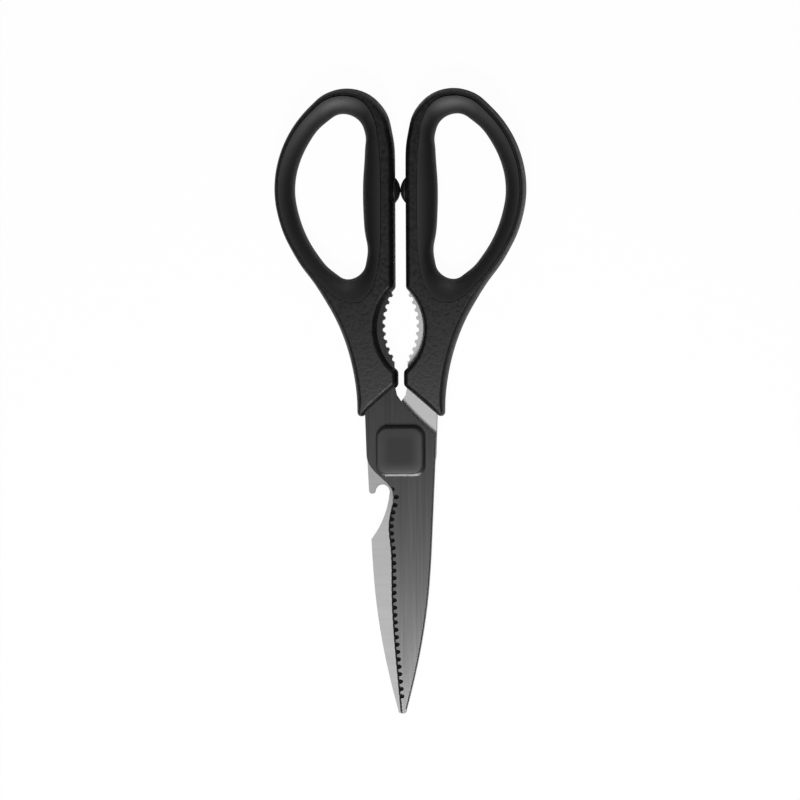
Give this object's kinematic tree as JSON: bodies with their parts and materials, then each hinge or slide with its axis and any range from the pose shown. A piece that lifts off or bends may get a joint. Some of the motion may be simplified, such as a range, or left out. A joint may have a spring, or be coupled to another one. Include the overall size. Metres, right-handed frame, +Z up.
{
  "type": "kitchen shears",
  "caption": "Kitchen shears with a serrated blade, a bottle opener hook on the spine, a toothed jaw between the handles, soft-ringed finger loops and a square pivot cap.",
  "frame": {"origin": "the pivot axis, where it meets the surface that the closed shears lie on", "axes": "+Y from the pivot along the middle line to the finger loops, +Z up through the serrated blade's outer face, +X to the right as seen from above"},
  "size_m": [0.086, 0.2126, 0.0114],
  "materials": {
    "satin_steel": "dark satin, brushed along the blade",
    "ground_steel": "bright ground steel",
    "hard_handle": "black, spark-textured",
    "soft_grip": "black, smooth satin",
    "stop_buffer": "black, smooth",
    "pivot_hardware": "turned steel",
    "pivot_cap": "dark grey, satin, bare face"
  },
  "bodies": {
    "right_half": {"opener_blade": "ground_steel", "right_handle": "hard_handle", "right_grip": "soft_grip", "right_stop_buffer": "stop_buffer", "pivot_screw": "pivot_hardware", "pivot_nut": "pivot_hardware", "spring_washer": "pivot_hardware", "front_pivot_cap": "pivot_cap", "rear_pivot_cap": "pivot_cap"},
    "left_half": {"serrated_blade": "satin_steel", "left_handle": "hard_handle", "left_grip": "soft_grip", "left_stop_buffer": "stop_buffer"}
  },
  "joints": [
    {"name": "pivot", "type": "hinge", "parent": "right_half", "child": "left_half", "pos_m": [0, 0, 0], "axis": [0, 0, 1], "range_deg": [0, 85]}
  ]
}
